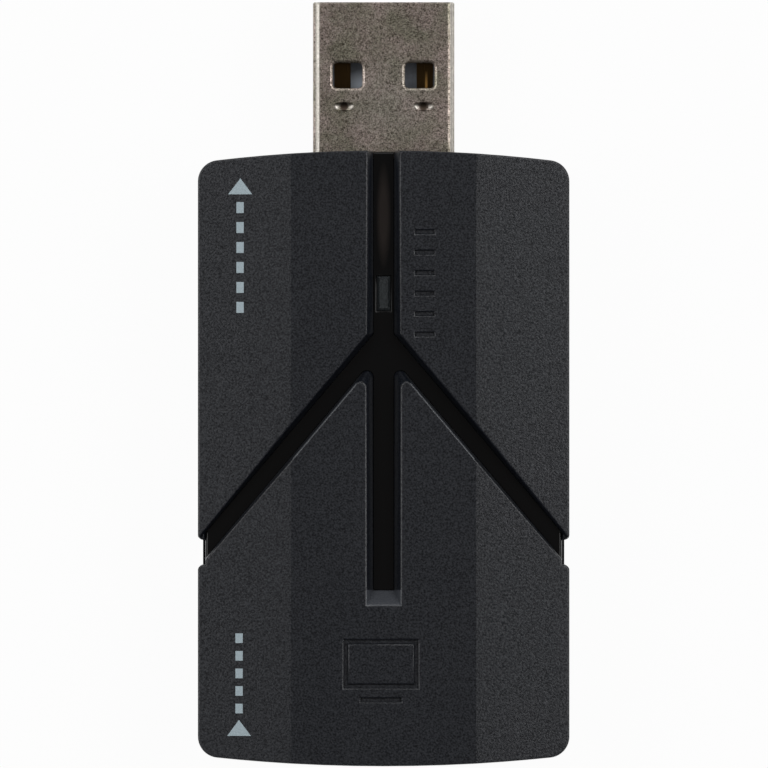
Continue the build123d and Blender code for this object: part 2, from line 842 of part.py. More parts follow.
def capture_chip():
    """The square video chip."""
    return Pos(*on_board(chip_place_shares)) * chip_body(chip_width, chip_width, chip_height)


def capture_chip_leads():
    """Its leads on four sides."""
    start = chip_width / 2
    row = lead_row(chip_lead_count, chip_lead_pitch, chip_lead_width, start, chip_height, lead_reach)
    place = Pos(*on_board(chip_place_shares))
    return [place * Rot(0, 0, turn) * lead for turn in (0, 90, 180, 270) for lead in row]


def memory_chip():
    """The settings memory."""
    return Pos(*on_board(memory_place_shares)) * chip_body(memory_width, memory_length, chip_height)


def memory_chip_leads():
    """Its leads on two sides."""
    start = memory_width / 2
    row = lead_row(memory_lead_count, memory_lead_pitch, memory_lead_width, start, chip_height, lead_reach)
    place = Pos(*on_board(memory_place_shares))
    return [place * Rot(0, 0, turn) * lead for turn in (90, 270) for lead in row]


def voltage_regulator():
    """A small three-legged regulator."""
    body = chip_body(regulator_width, regulator_length, regulator_height)
    leads = regulator_lead_row(2, 90) + regulator_lead_row(1, 270)
    return Pos(*on_board(regulator_place_shares)) * (body + leads)


def regulator_lead_row(count, turn):
    """Its leads on one side, turned to that side."""
    pitch = 2 * regulator_lead_pitch
    start = regulator_width / 2
    row = lead_row(count, pitch, regulator_lead_width, start, regulator_height, regulator_lead_reach)
    return [Rot(0, 0, turn) * lead for lead in row]


def crystal():
    """A ceramic crystal package with a metal lid."""
    lid_bottom = board_top + crystal_height - crystal_lid_height
    base = along_z(Rectangle(crystal_width, crystal_length), board_top, lid_bottom)
    lid_outline = Rectangle(crystal_width - 2 * crystal_rim, crystal_length - 2 * crystal_rim)
    lid = along_z(lid_outline, lid_bottom, board_top + crystal_height)
    return Pos(*on_board(crystal_place_shares)) * (base + lid)


def power_inductor():
    """A square wound part with a cut-cornered body and two end plates."""
    body = along_z(Rectangle(inductor_width, inductor_width), board_top, board_top + inductor_height)
    body = chamfer(body.edges().filter_by(Axis.Z), inductor_corner)
    end = block(
        inductor_width / 2 - inductor_end, inductor_width / 2,
        inductor_corner - inductor_width / 2, inductor_width / 2 - inductor_corner,
        board_top, board_top + inductor_height + small_part_skin,
    )
    return Pos(*on_board(inductor_place_shares)) * (body + both_sides(end))


def status_light():
    """The light under the window: a small white block with a lens on top."""
    body_top = board_top + status_chip_height
    body = along_z(Rectangle(status_chip_width, status_chip_length), board_top, body_top)
    lens = along_z(Rectangle(status_chip_width, status_lens_length), body_top, body_top + status_lens_height)
    return Pos(0, light_y) * (body + lens)


def surge_protectors():
    """The row of small protectors beside the video socket."""
    solid = along_z(Rectangle(surge_length, surge_width), board_top, board_top + surge_height)
    solid = chamfer(solid.edges().group_by(Axis.Z)[-1], chip_edge_bevel / 2)
    return [Pos(*on_board((share, surge_line_share))) * solid for share in surge_row_shares]


def small_part(height):
    """A small two-ended part: a body between two slightly thicker metal ends."""
    body = along_z(Rectangle(small_part_width, small_part_length), board_top, board_top + height)
    end_width = small_part_width + 2 * small_part_skin
    cap = Rectangle(end_width, small_part_end)
    cap_top = board_top + height + small_part_skin
    end_y = (small_part_length - small_part_end) / 2
    caps = [along_z(Pos(0, side * end_y) * cap, board_top, cap_top) for side in (-1, 1)]
    return body + caps


def small_parts(height, place_shares):
    """Copies of a small part at all its places."""
    solid = small_part(height)
    return [Pos(*on_board(shares)) * solid for shares in place_shares]


def group(solids):
    """Like pieces that share one node."""
    return Compound(children=solids)


os.makedirs("parts", exist_ok=True)
save(upper_shell(), "upper_shell")
save(lower_shell(), "lower_shell")
save(groove_inlay(), "groove_inlay")
save(status_light_guide(), "status_light_guide")
save(plug_shell(), "plug_shell")
save(plug_insulator(), "plug_insulator")
for node, contact in plug_contacts().items():
    save(contact, node)
save(socket_shell(), "socket_shell")
save(socket_insulator(), "socket_insulator")
save(group(socket_upper_contacts()), "socket_upper_contacts")
save(group(socket_lower_contacts()), "socket_lower_contacts")
save(circuit_board(), "circuit_board")
save(capture_chip(), "capture_chip")
save(group(capture_chip_leads()), "capture_chip_leads")
save(memory_chip(), "memory_chip")
save(group(memory_chip_leads()), "memory_chip_leads")
save(voltage_regulator(), "voltage_regulator")
save(crystal(), "crystal")
save(power_inductor(), "power_inductor")
save(status_light(), "status_light")
save(group(surge_protectors()), "surge_protectors")
save(group(small_parts(small_part_height, capacitor_place_shares)), "capacitors")
save(group(small_parts(resistor_height, resistor_place_shares)), "resistors")
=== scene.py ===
import math

import bmesh
import bpy
from mathutils import Matrix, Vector
from mathutils.bvhtree import BVHTree


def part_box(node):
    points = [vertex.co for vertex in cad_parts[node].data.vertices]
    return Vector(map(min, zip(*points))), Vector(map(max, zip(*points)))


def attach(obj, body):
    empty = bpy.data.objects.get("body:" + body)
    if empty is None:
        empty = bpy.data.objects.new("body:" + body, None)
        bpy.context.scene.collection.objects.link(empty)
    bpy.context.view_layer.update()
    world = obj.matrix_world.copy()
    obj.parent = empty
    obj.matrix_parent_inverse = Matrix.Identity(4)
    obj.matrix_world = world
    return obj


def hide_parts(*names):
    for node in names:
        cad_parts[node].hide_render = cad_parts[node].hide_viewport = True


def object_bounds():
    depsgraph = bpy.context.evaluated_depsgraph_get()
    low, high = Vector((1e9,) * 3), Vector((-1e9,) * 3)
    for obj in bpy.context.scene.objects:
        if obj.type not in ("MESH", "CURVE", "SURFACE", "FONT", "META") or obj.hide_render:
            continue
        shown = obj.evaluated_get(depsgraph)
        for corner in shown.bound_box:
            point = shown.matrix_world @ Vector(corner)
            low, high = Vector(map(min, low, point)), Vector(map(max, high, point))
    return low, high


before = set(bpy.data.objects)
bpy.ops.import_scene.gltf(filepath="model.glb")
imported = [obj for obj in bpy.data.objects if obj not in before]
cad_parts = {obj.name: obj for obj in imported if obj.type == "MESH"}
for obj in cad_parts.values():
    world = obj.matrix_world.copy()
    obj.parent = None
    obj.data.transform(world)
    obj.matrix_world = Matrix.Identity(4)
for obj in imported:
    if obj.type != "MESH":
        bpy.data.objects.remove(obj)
cad_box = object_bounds()


# The stage: a pale floor under the stick, dim walls, and soft lamps. A high pair lights the sloping
# flanks of the case more than its flat middle, a low pair draws the bright lines on the plug's
# rounded sides, and one stands beyond the plug. The camera looks straight down.
mm = 0.001
scene = bpy.context.scene
scene.view_settings.view_transform = "Standard"
pixels_across = 768
pixels_per_mm = 11.8
view_centre_x = 0.03 * mm
view_centre_y = 6.3 * mm
camera_height = 3000 * mm
case_top = cad_box[1][2]
sensor_width = 36.0
far_clip = 20.0

camera_data = bpy.data.cameras.new("camera")
camera_data.sensor_width = sensor_width
camera_data.lens = sensor_width * camera_height / (pixels_across / pixels_per_mm * mm)
camera_data.clip_end = far_clip
camera = bpy.data.objects.new("camera", camera_data)
camera.location = (view_centre_x, view_centre_y, case_top + camera_height)
scene.collection.objects.link(camera)
scene.camera = camera


def to_linear(text):
    """The linear colour of an sRGB hex value, by the sRGB curve, with an alpha of 1."""
    byte_top = 255
    knee, slope, lift, power = 0.04045, 12.92, 0.055, 2.4
    parts = [int(text[place:place + 2], 16) / byte_top for place in (1, 3, 5)]
    return [
        part / slope if part <= knee else ((part + lift) / (1 + lift)) ** power for part in parts
    ] + [1.0]


def add(tree, kind, inputs, **settings):
    """A node with its settings, and its inputs given as values or as links from other sockets."""
    made = tree.nodes.new(kind)
    for name, value in settings.items():
        setattr(made, name, value)
    for socket, value in inputs.items():
        if isinstance(value, bpy.types.NodeSocket):
            tree.links.new(value, made.inputs[socket])
        else:
            made.inputs[socket].default_value = value
    return made


def finish_as(name, build):
    """A material whose nodes are made by build, from the tree and its Object coordinates."""
    made = bpy.data.materials.new(name)
    made.use_nodes = True
    tree = made.node_tree
    tree.nodes.clear()
    place = add(tree, "ShaderNodeTexCoord", {}).outputs["Object"]
    surface = build(tree, place)
    add(tree, "ShaderNodeOutputMaterial", {"Surface": surface})
    return made


def pale_floor(tree, place):
    """Matt white paper. What looks at it straight sees it nearly white, with a soft shadow."""
    fleck_size = 2 * mm
    glow_share = 0.96
    fleck = add(tree, "ShaderNodeTexNoise", {"Vector": place, "Scale": 1 / fleck_size, "Detail": 3.0})
    tone = add(tree, "ShaderNodeMixRGB", {
        "Fac": fleck.outputs["Fac"], "Color1": to_linear("#e6e6e6"), "Color2": to_linear("#eaeaea"),
    })
    paper = add(tree, "ShaderNodeBsdfDiffuse", {"Color": tone.outputs["Color"]})
    glow = add(tree, "ShaderNodeEmission", {"Color": to_linear("#ffffff"), "Strength": 1.0})
    ray = add(tree, "ShaderNodeLightPath", {})
    seen = add(tree, "ShaderNodeMath", {0: ray.outputs["Is Camera Ray"], 1: ray.outputs["Is Glossy Ray"]},
               operation="MAXIMUM")
    seen = add(tree, "ShaderNodeMath", {0: seen.outputs[0], 1: ray.outputs["Is Transmission Ray"]},
               operation="MAXIMUM")
    share = add(tree, "ShaderNodeMath", {0: seen.outputs[0], 1: glow_share}, operation="MULTIPLY")
    return add(tree, "ShaderNodeMixShader", {
        0: share.outputs[0], 1: paper.outputs[0], 2: glow.outputs[0],
    }).outputs[0]


floor_size = 6.0
floor_gap = 0.05 * mm
floor_mesh = bpy.data.meshes.new("floor")
bm = bmesh.new()
bmesh.ops.create_grid(bm, x_segments=1, y_segments=1, size=floor_size / 2)
bmesh.ops.translate(bm, verts=bm.verts, vec=(0, 0, -floor_gap))
bm.to_mesh(floor_mesh)
bm.free()
floor = bpy.data.objects.new("floor", floor_mesh)
floor.data.materials.append(finish_as("white_paper", pale_floor))
scene.collection.objects.link(floor)

walls_low = 0.10
walls_high = 0.75
world = bpy.data.worlds.new("studio")
world.use_nodes = True
world.node_tree.nodes.clear()
direction = add(world.node_tree, "ShaderNodeTexCoord", {}).outputs["Generated"]
height = add(world.node_tree, "ShaderNodeSeparateXYZ", {0: direction}).outputs["Z"]
walls = add(world.node_tree, "ShaderNodeValToRGB", {"Fac": height})
walls.color_ramp.elements[0].position = walls_low
walls.color_ramp.elements[0].color = to_linear("#4a4846")
walls.color_ramp.elements[1].position = walls_high
walls.color_ramp.elements[1].color = to_linear("#666462")
light = add(world.node_tree, "ShaderNodeBackground", {"Color": walls.outputs["Color"], "Strength": 1.0})
add(world.node_tree, "ShaderNodeOutputWorld", {"Surface": light.outputs[0]})
scene.world = world

lamp_width = 440 * mm
lamp_height = 240 * mm
high_x = 300 * mm
high_y = 130 * mm
high_z = 460 * mm
low_x = 480 * mm
low_z = 200 * mm
beyond_y = 480 * mm
beyond_z = 300 * mm
# Each lamp's name, its place and its power in watts.
lamps = [
    ("lamp_high_left", (-high_x, high_y, high_z), 0.80),
    ("lamp_high_right", (high_x, high_y, high_z), 1.06),
    ("lamp_low_left", (-low_x, 0, low_z), 0.34),
    ("lamp_low_right", (low_x, 0, low_z), 0.22),
    ("lamp_beyond", (0, beyond_y, beyond_z), 0.52),
]
for lamp_name, lamp_place, power in lamps:
    lamp_data = bpy.data.lights.new(lamp_name, "AREA")
    lamp_data.shape = "RECTANGLE"
    lamp_data.size = lamp_width
    lamp_data.size_y = lamp_height
    lamp_data.energy = power
    lamp = bpy.data.objects.new(lamp_name, lamp_data)
    lamp.location = lamp_place
    lamp.rotation_euler = (-lamp.location).to_track_quat("-Z", "Y").to_euler()
    scene.collection.objects.link(lamp)


# The case: two halves moulded in black ABS and snapped together. The tool was spark-eroded, so the
# faces are matt with a fine grain, and every edge that stands in the open is only just broken.
merge_distance = 0.001 * mm
sharp_angle = math.radians(25)
flat_angle = math.radians(0.4)
flat_from = 30 * mm * mm
top_flat_from = 1 * mm * mm
top_lean = 0.985
rim_round = 0.16 * mm
rim_segments = 3
ready = bpy.context.evaluated_depsgraph_get()
case_trees = [
    BVHTree.FromObject(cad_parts[name], ready)
    for name in ("upper_shell", "lower_shell", "groove_inlay")
]
channel_half = 1.7 * mm
end_wall_y = -11.9 * mm
end_wall_half = 0.75 * mm
sunk_skin = 0.03 * mm
end_wall_depth = 2.5 * mm
arm_rise = 1.183
arm_foot_y = 9.05 * mm
arm_middle_x = 5.0 * mm
arm_half = 2.7 * mm
highlight_half = 0.06 * mm
top_skin = 1.2 * mm


def case_plastic(tree, place):
    """Moulded ABS, spark-eroded: dark grey with a slight blue cast, a fine pebble grain and a
    broad dull sheen. The real grain is about 0.05 mm and is drawn at 0.16 mm so that it shows.
    The sloped end wall of the channel is painted paler, as painted light where it faces the lamps,
    and the lower edges of the slanted arms carry a painted highlight, a pale line."""
    grain = 0.16 * mm
    grain_height = 0.006 * mm
    patch_size = 6 * mm
    pebble = add(tree, "ShaderNodeTexNoise", {
        "Vector": place, "Scale": 1 / grain, "Detail": 2.0, "Roughness": 0.6,
    })
    patch = add(tree, "ShaderNodeTexNoise", {"Vector": place, "Scale": 1 / patch_size, "Detail": 2.0})
    contrast = add(tree, "ShaderNodeMapRange", {
        "Value": pebble.outputs["Fac"], "From Min": 0.32, "From Max": 0.68,
    })
    tone = add(tree, "ShaderNodeMixRGB", {
        "Fac": contrast.outputs[0], "Color1": to_linear("#07090f"), "Color2": to_linear("#161b24"),
    })
    axes = add(tree, "ShaderNodeSeparateXYZ", {0: place})
    off_centre = add(tree, "ShaderNodeMath", {0: axes.outputs["X"]}, operation="ABSOLUTE")
    in_channel = add(tree, "ShaderNodeMath", {0: off_centre.outputs[0], 1: channel_half},
                     operation="LESS_THAN")
    # Painted light: the sloped end wall of the channel is painted paler, where it faces the lamps.
    off_end = add(tree, "ShaderNodeMath", {0: axes.outputs["Y"], 1: end_wall_y}, operation="SUBTRACT")
    off_end = add(tree, "ShaderNodeMath", {0: off_end.outputs[0]}, operation="ABSOLUTE")
    by_end = add(tree, "ShaderNodeMath", {0: off_end.outputs[0], 1: end_wall_half}, operation="LESS_THAN")
    below = add(tree, "ShaderNodeMath", {
        0: axes.outputs["Z"], 1: case_top - sunk_skin - end_wall_depth / 2, 2: end_wall_depth / 2,
    }, operation="COMPARE")
    painted_end_light = add(tree, "ShaderNodeMath", {0: in_channel.outputs[0], 1: by_end.outputs[0]},
                 operation="MULTIPLY")
    painted_end_light = add(tree, "ShaderNodeMath", {0: painted_end_light.outputs[0], 1: below.outputs[0]}, operation="MULTIPLY")
    tone = add(tree, "ShaderNodeMixRGB", {
        "Fac": painted_end_light.outputs[0], "Color1": tone.outputs["Color"], "Color2": to_linear("#43464c"),
    })
    # Painted highlight: a pale line along the lower edges of the slanted arms, on the top.
    off_edge = add(tree, "ShaderNodeMath", {
        0: off_centre.outputs[0], 1: arm_rise, 2: axes.outputs["Y"],
    }, operation="MULTIPLY_ADD")
    off_edge = add(tree, "ShaderNodeMath", {0: off_edge.outputs[0], 1: arm_foot_y}, operation="SUBTRACT")
    off_edge = add(tree, "ShaderNodeMath", {0: off_edge.outputs[0]}, operation="ABSOLUTE")
    painted_highlight = add(tree, "ShaderNodeMapRange", {
        "Value": off_edge.outputs[0], "From Min": highlight_half, "From Max": 2 * highlight_half,
        "To Min": 1.0, "To Max": 0.0,
    })
    on_arm = add(tree, "ShaderNodeMath", {
        0: off_centre.outputs[0], 1: arm_middle_x, 2: arm_half,
    }, operation="COMPARE")
    on_top = add(tree, "ShaderNodeMath", {0: axes.outputs["Z"], 1: case_top - top_skin},
                 operation="GREATER_THAN")
    painted_highlight = add(tree, "ShaderNodeMath", {0: painted_highlight.outputs[0], 1: on_arm.outputs[0]}, operation="MULTIPLY")
    painted_highlight = add(tree, "ShaderNodeMath", {0: painted_highlight.outputs[0], 1: on_top.outputs[0]}, operation="MULTIPLY")
    tone = add(tree, "ShaderNodeMixRGB", {
        "Fac": painted_highlight.outputs[0], "Color1": tone.outputs["Color"], "Color2": to_linear("#4a4d52"),
    })
    dull = add(tree, "ShaderNodeMapRange", {
        "Value": patch.outputs["Fac"], "To Min": 0.34, "To Max": 0.38,
    })
    relief = add(tree, "ShaderNodeBump", {
        "Height": contrast.outputs[0], "Strength": 1.0, "Distance": grain_height,
    })
    glint = add(tree, "ShaderNodeMapRange", {
        "Value": contrast.outputs[0], "To Min": 0.25, "To Max": 0.75,
    })
    return add(tree, "ShaderNodeBsdfPrincipled", {
        "Base Color": tone.outputs["Color"], "Roughness": dull.outputs[0], "IOR": 1.54,
        "Specular IOR Level": glint.outputs[0], "Normal": relief.outputs["Normal"],
    }).outputs[0]


black_abs = finish_as("spark_eroded_black_abs", case_plastic)


def copy_of(node, name):
    """A new piece that starts from the merged mesh of one CAD node."""
    piece = bpy.data.objects.new(name, bpy.data.meshes.new(name))
    scene.collection.objects.link(piece)
    bm = bmesh.new()
    bm.from_mesh(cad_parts[node].data)
    bmesh.ops.remove_doubles(bm, verts=bm.verts, dist=merge_distance)
    bmesh.ops.dissolve_limit(bm, angle_limit=flat_angle, verts=bm.verts, edges=bm.edges)
    bm.to_mesh(piece.data)
    bm.free()
    return piece


def combine(piece, tool, operation):
    """The piece after a tool shape is cut out of it or joined to it. The tool is used up."""
    step = piece.modifiers.new("step", "BOOLEAN")
    step.object = tool
    step.operation = operation
    step.solver = "EXACT"
    made = bpy.data.meshes.new_from_object(piece.evaluated_get(bpy.context.evaluated_depsgraph_get()))
    piece.modifiers.clear()
    piece.data = made
    bpy.data.objects.remove(tool)


def in_the_open(edge):
    """Whether nothing of the case stands in front of an edge."""
    outward = (edge.link_faces[0].normal + edge.link_faces[1].normal).normalized()
    start = (edge.verts[0].co + edge.verts[1].co) / 2 + outward * rim_round / 2
    return all(tree.ray_cast(start, outward)[0] is None for tree in case_trees)


def break_edges(piece, width, segments):
    """Round the sharp edges that stand in the open by a small width, and keep to the CAD's box."""
    bm = bmesh.new()
    bm.from_mesh(piece.data)
    bmesh.ops.remove_doubles(bm, verts=bm.verts, dist=merge_distance)
    bm.normal_update()
    chosen = [
        edge for edge in bm.edges
        if edge.is_manifold and edge.is_convex and edge.calc_face_angle() > sharp_angle
        and in_the_open(edge)
    ]
    bmesh.ops.bevel(bm, geom=chosen, offset=width, offset_type="OFFSET", segments=segments,
                    affect="EDGES", profile=0.5, material=-1, clamp_overlap=False)
    for corner in bm.verts:
        corner.co = [min(max(at, low), high) for at, low, high in zip(corner.co, *cad_box)]
    bmesh.ops.dissolve_degenerate(bm, dist=merge_distance, edges=bm.edges)
    bm.to_mesh(piece.data)
    bm.free()


def is_plain(face):
    """Whether a face is one of the large flat ones, or lies flat on top."""
    return face.area > flat_from or (face.area > top_flat_from and face.normal.z > top_lean)


def shade(piece, finish):
    """Smooth shading that keeps the large faces flat, the piece's material and its body."""
    piece.data.shade_smooth()
    piece.data.set_sharp_from_angle(angle=sharp_angle)
    directions = [corner.vector.copy() for corner in piece.data.corner_normals]
    plains = {}
    for face in filter(is_plain, piece.data.polygons):
        for corner in face.vertices:
            plains.setdefault(corner, []).append(face.normal.copy())
    for face in piece.data.polygons:
        for place, corner in zip(face.loop_indices, face.vertices):
            near = [plain for plain in plains.get(corner, []) if plain.angle(face.normal) < sharp_angle]
            if near:
                directions[place] = min(near, key=face.normal.angle)
    piece.data.normals_split_custom_set(directions)
    piece.data.materials.clear()
    piece.data.materials.append(finish)
    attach(piece, "root")


rim_lean_low = 0.5
rim_lean_high = 0.96
rim_push = 0.6
rim_from_x = 15.0 * mm
rim_from_y = 24.3 * mm
rim_from_z = 11 * mm
corner_from_x = 13.9 * mm
corner_from_y = 23.5 * mm
flank_from = 7.85 * mm
flank_slope = 1.0 / 7.9
slope_slack = 0.03 * mm
fold_angle = math.radians(150)
tip_reach = 0.3 * mm


def is_rim(face):
    """Whether a face is part of the bevel that runs round the top's outline."""
    middle = face.calc_center_median()
    lean = face.normal
    if middle.z < rim_from_z or not rim_lean_low < lean.z < rim_lean_high:
        return False
    on_side = abs(middle.x) > rim_from_x and lean.x * math.copysign(1, middle.x) > rim_push
    on_end = abs(middle.y) > rim_from_y and lean.y * math.copysign(1, middle.y) > rim_push
    at_corner = abs(middle.x) > corner_from_x and abs(middle.y) > corner_from_y
    return on_side or on_end or at_corner


def flank_fall(x):
    """How far the top lies below its flat middle at one place across the case."""
    return flank_slope * max(abs(x) - flank_from, 0)


def folded_tip(face):
    """The corners of a flat face's acute tip, where the edge rounding folded it over itself."""
    for loop in face.loops:
        here = loop.vert.co
        before = here - loop.link_loop_prev.vert.co
        after = loop.link_loop_next.vert.co - here
        if before.cross(after).z < 0 and before.angle(after) > fold_angle:
            return [corner for corner in face.verts if (corner.co - here).length < tip_reach]
    return []


def flatten_top(piece):
    """Set every corner of the top's flat faces back on its own slope, and mend their tips."""
    bm = bmesh.new()
    bm.from_mesh(piece.data)
    bm.normal_update()
    flats = [
        face for face in bm.faces
        if face.normal.z > top_lean and face.calc_center_median().z > rim_from_z
        and all(corner.co.z > case_top - flank_fall(corner.co.x) - slope_slack for corner in face.verts)
    ]
    for corner in {corner for face in flats for corner in face.verts}:
        corner.co.z = case_top - flank_fall(corner.co.x)
    for tips in filter(None, [folded_tip(face) for face in flats]):
        nearest_plug = max(tips, key=lambda corner: corner.co.y)
        bmesh.ops.pointmerge(bm, verts=tips, merge_co=nearest_plug.co.copy())
    bmesh.ops.dissolve_degenerate(bm, dist=merge_distance, edges=bm.edges)
    bm.to_mesh(piece.data)
    bm.free()


def square_rim(piece):
    """Carry the top out to the outline, where the mould leaves a nearly square rim."""
    bm = bmesh.new()
    bm.from_mesh(piece.data)
    bm.normal_update()
    for corner in {corner for face in bm.faces if is_rim(face) for corner in face.verts}:
        corner.co.z = case_top - flank_fall(corner.co.x)
    bm.normal_update()
    bmesh.ops.dissolve_limit(bm, angle_limit=flat_angle, verts=bm.verts, edges=bm.edges)
    bm.to_mesh(piece.data)
    bm.free()


top_case = copy_of("upper_shell", "top_case")
square_rim(top_case)
bottom_case = copy_of("lower_shell", "bottom_case")


# Sunk marks in the top: a plain row of short strokes beside the window, and a plain outline of a
# screen on its foot near the socket end. They were cut into the mould as ridges 0.3 mm high.
sunk_depth = 0.3 * mm
stroke = 0.3 * mm


def flat_bar(bm, x, y, width, length, low, high):
    """One upright bar: its middle, its size from above and its two heights."""
    made = bmesh.ops.create_cube(bm, size=1.0)
    corners = made["verts"]
    bmesh.ops.scale(bm, vec=(width, length, high - low), verts=corners)
    bmesh.ops.translate(bm, vec=(x, y, (low + high) / 2), verts=corners)


def mark_piece(name, bars):
    """Several bars as one piece."""
    bm = bmesh.new()
    for bar in bars:
        flat_bar(bm, *bar)
    made = bpy.data.meshes.new(name)
    bm.to_mesh(made)
    bm.free()
    piece = bpy.data.objects.new(name, made)
    scene.collection.objects.link(piece)
    return piece


middle_column = 383.6
middle_row = 458.3


def across(column):
    """The X place of a pixel column of the photograph."""
    return (column - middle_column) / pixels_per_mm * mm


def along(row):
    """The Y place of a pixel row of the photograph."""
    return (middle_row - row) / pixels_per_mm * mm


tool_rise = 1 * mm
sunk_low = case_top - sunk_depth
sunk_high = case_top + tool_rise
strokes_left = across(415.5)
strokes_right = across(434)
strokes_top = along(230)
strokes_bottom = along(336)
stroke_count = 6
pitch = (strokes_top - strokes_bottom - stroke) / (stroke_count - 1)
strokes = [
    ((strokes_left + strokes_right) / 2, strokes_top - stroke / 2 - index * pitch,
     strokes_right - strokes_left, stroke, sunk_low, sunk_high)
    for index in range(stroke_count)
]
screen_left = across(344)
screen_right = across(418)
screen_top = along(640)
screen_bottom = along(688)
screen_x = (screen_left + screen_right) / 2
screen_y = (screen_top + screen_bottom) / 2
screen_width = screen_right - screen_left
screen_height = screen_top - screen_bottom
foot_y = along(700)
foot_width = 3.4 * mm
screen = [
    (screen_x, screen_top - stroke / 2, screen_width, stroke, sunk_low, sunk_high),
    (screen_x, screen_bottom + stroke / 2, screen_width, stroke, sunk_low, sunk_high),
    (screen_left + stroke / 2, screen_y, stroke, screen_height - 2 * stroke, sunk_low, sunk_high),
    (screen_right - stroke / 2, screen_y, stroke, screen_height - 2 * stroke, sunk_low, sunk_high),
    (screen_x, foot_y, foot_width, stroke, sunk_low, sunk_high),
]
for bar in strokes + screen:
    combine(top_case, mark_piece("sunk_tool", [bar]), "DIFFERENCE")

break_edges(top_case, rim_round, rim_segments)
flatten_top(top_case)
break_edges(bottom_case, rim_round, rim_segments)
shade(top_case, black_abs)
shade(bottom_case, black_abs)
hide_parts("upper_shell")
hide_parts("lower_shell")


# Printed marks: pale blue-grey ink, pad-printed on the left flank. Each is a plain triangle that
# points to the plug, with a dashed line after it.
ink_thickness = 0.012 * mm
ink_bite = 0.03 * mm
ink_dash = 0.62 * mm


def pad_ink(tree, place):
    """Pad-printed ink: thin, matt, pale blue-grey, a little uneven over the grain below it."""
    fleck_size = 0.12 * mm
    fleck_height = 0.01 * mm
    fleck = add(tree, "ShaderNodeTexNoise", {"Vector": place, "Scale": 1 / fleck_size, "Detail": 3.0})
    tone = add(tree, "ShaderNodeMixRGB", {
        "Fac": fleck.outputs["Fac"], "Color1": to_linear("#96a7af"), "Color2": to_linear("#bbcbd3"),
    })
    relief = add(tree, "ShaderNodeBump", {
        "Height": fleck.outputs["Fac"], "Strength": 0.4, "Distance": fleck_height,
    })
    return add(tree, "ShaderNodeBsdfPrincipled", {
        "Base Color": tone.outputs["Color"], "Roughness": 0.6, "Normal": relief.outputs["Normal"],
    }).outputs[0]


blue_grey_ink = finish_as("pad_printed_ink", pad_ink)


def face_height(x, y):
    """The height of the case's top face at one place."""
    above = 2 * case_top
    return case_trees[0].ray_cast((x, y, above), (0, 0, -1))[0].z


def ink_mark(name, triangle, dash_x, dash_from, dash_to, dash_count):
    """A triangle and a dashed line of ink that lie on the flank."""
    bm = bmesh.new()
    corners = [bm.verts.new((x, y, -ink_bite)) for x, y in triangle]
    face = bm.faces.new(corners)
    raised = bmesh.ops.extrude_face_region(bm, geom=[face])["geom"]
    lifted = [part for part in raised if isinstance(part, bmesh.types.BMVert)]
    bmesh.ops.translate(bm, verts=lifted, vec=(0, 0, ink_bite + ink_thickness))
    gap_share = 0.45
    dash_pitch = (dash_from - dash_to) / (dash_count - gap_share)
    dash_length = dash_pitch * (1 - gap_share)
    for index in range(dash_count):
        middle = dash_from - dash_length / 2 - index * dash_pitch
        flat_bar(bm, dash_x, middle, ink_dash, dash_length, -ink_bite, ink_thickness)
    for corner in bm.verts:
        corner.co.z += face_height(corner.co.x, corner.co.y)
    bmesh.ops.recalc_face_normals(bm, faces=bm.faces)
    made = bpy.data.meshes.new(name)
    bm.to_mesh(made)
    bm.free()
    piece = bpy.data.objects.new(name, made)
    scene.collection.objects.link(piece)
    shade(piece, blue_grey_ink)
    return piece


upper_triangle = [
    (across(240.4), along(178.3)),
    (across(228), along(194.2)),
    (across(252.1), along(194.2)),
]
lower_triangle = [
    (across(238.9), along(719.9)),
    (across(227.1), along(735.9)),
    (across(250.8), along(735.9)),
]
upper_dash_column = across(240)
upper_dashes_top = along(202)
upper_dashes_bottom = along(312.8)
lower_dash_column = across(239)
lower_dashes_top = along(633.4)
lower_dashes_bottom = along(713.4)
upper_dash_count = 6
lower_dash_count = 5
ink_mark("plug_end_mark", upper_triangle, upper_dash_column, upper_dashes_top, upper_dashes_bottom,
         upper_dash_count)
ink_mark("socket_end_mark", lower_triangle, lower_dash_column, lower_dashes_top, lower_dashes_bottom,
         lower_dash_count)


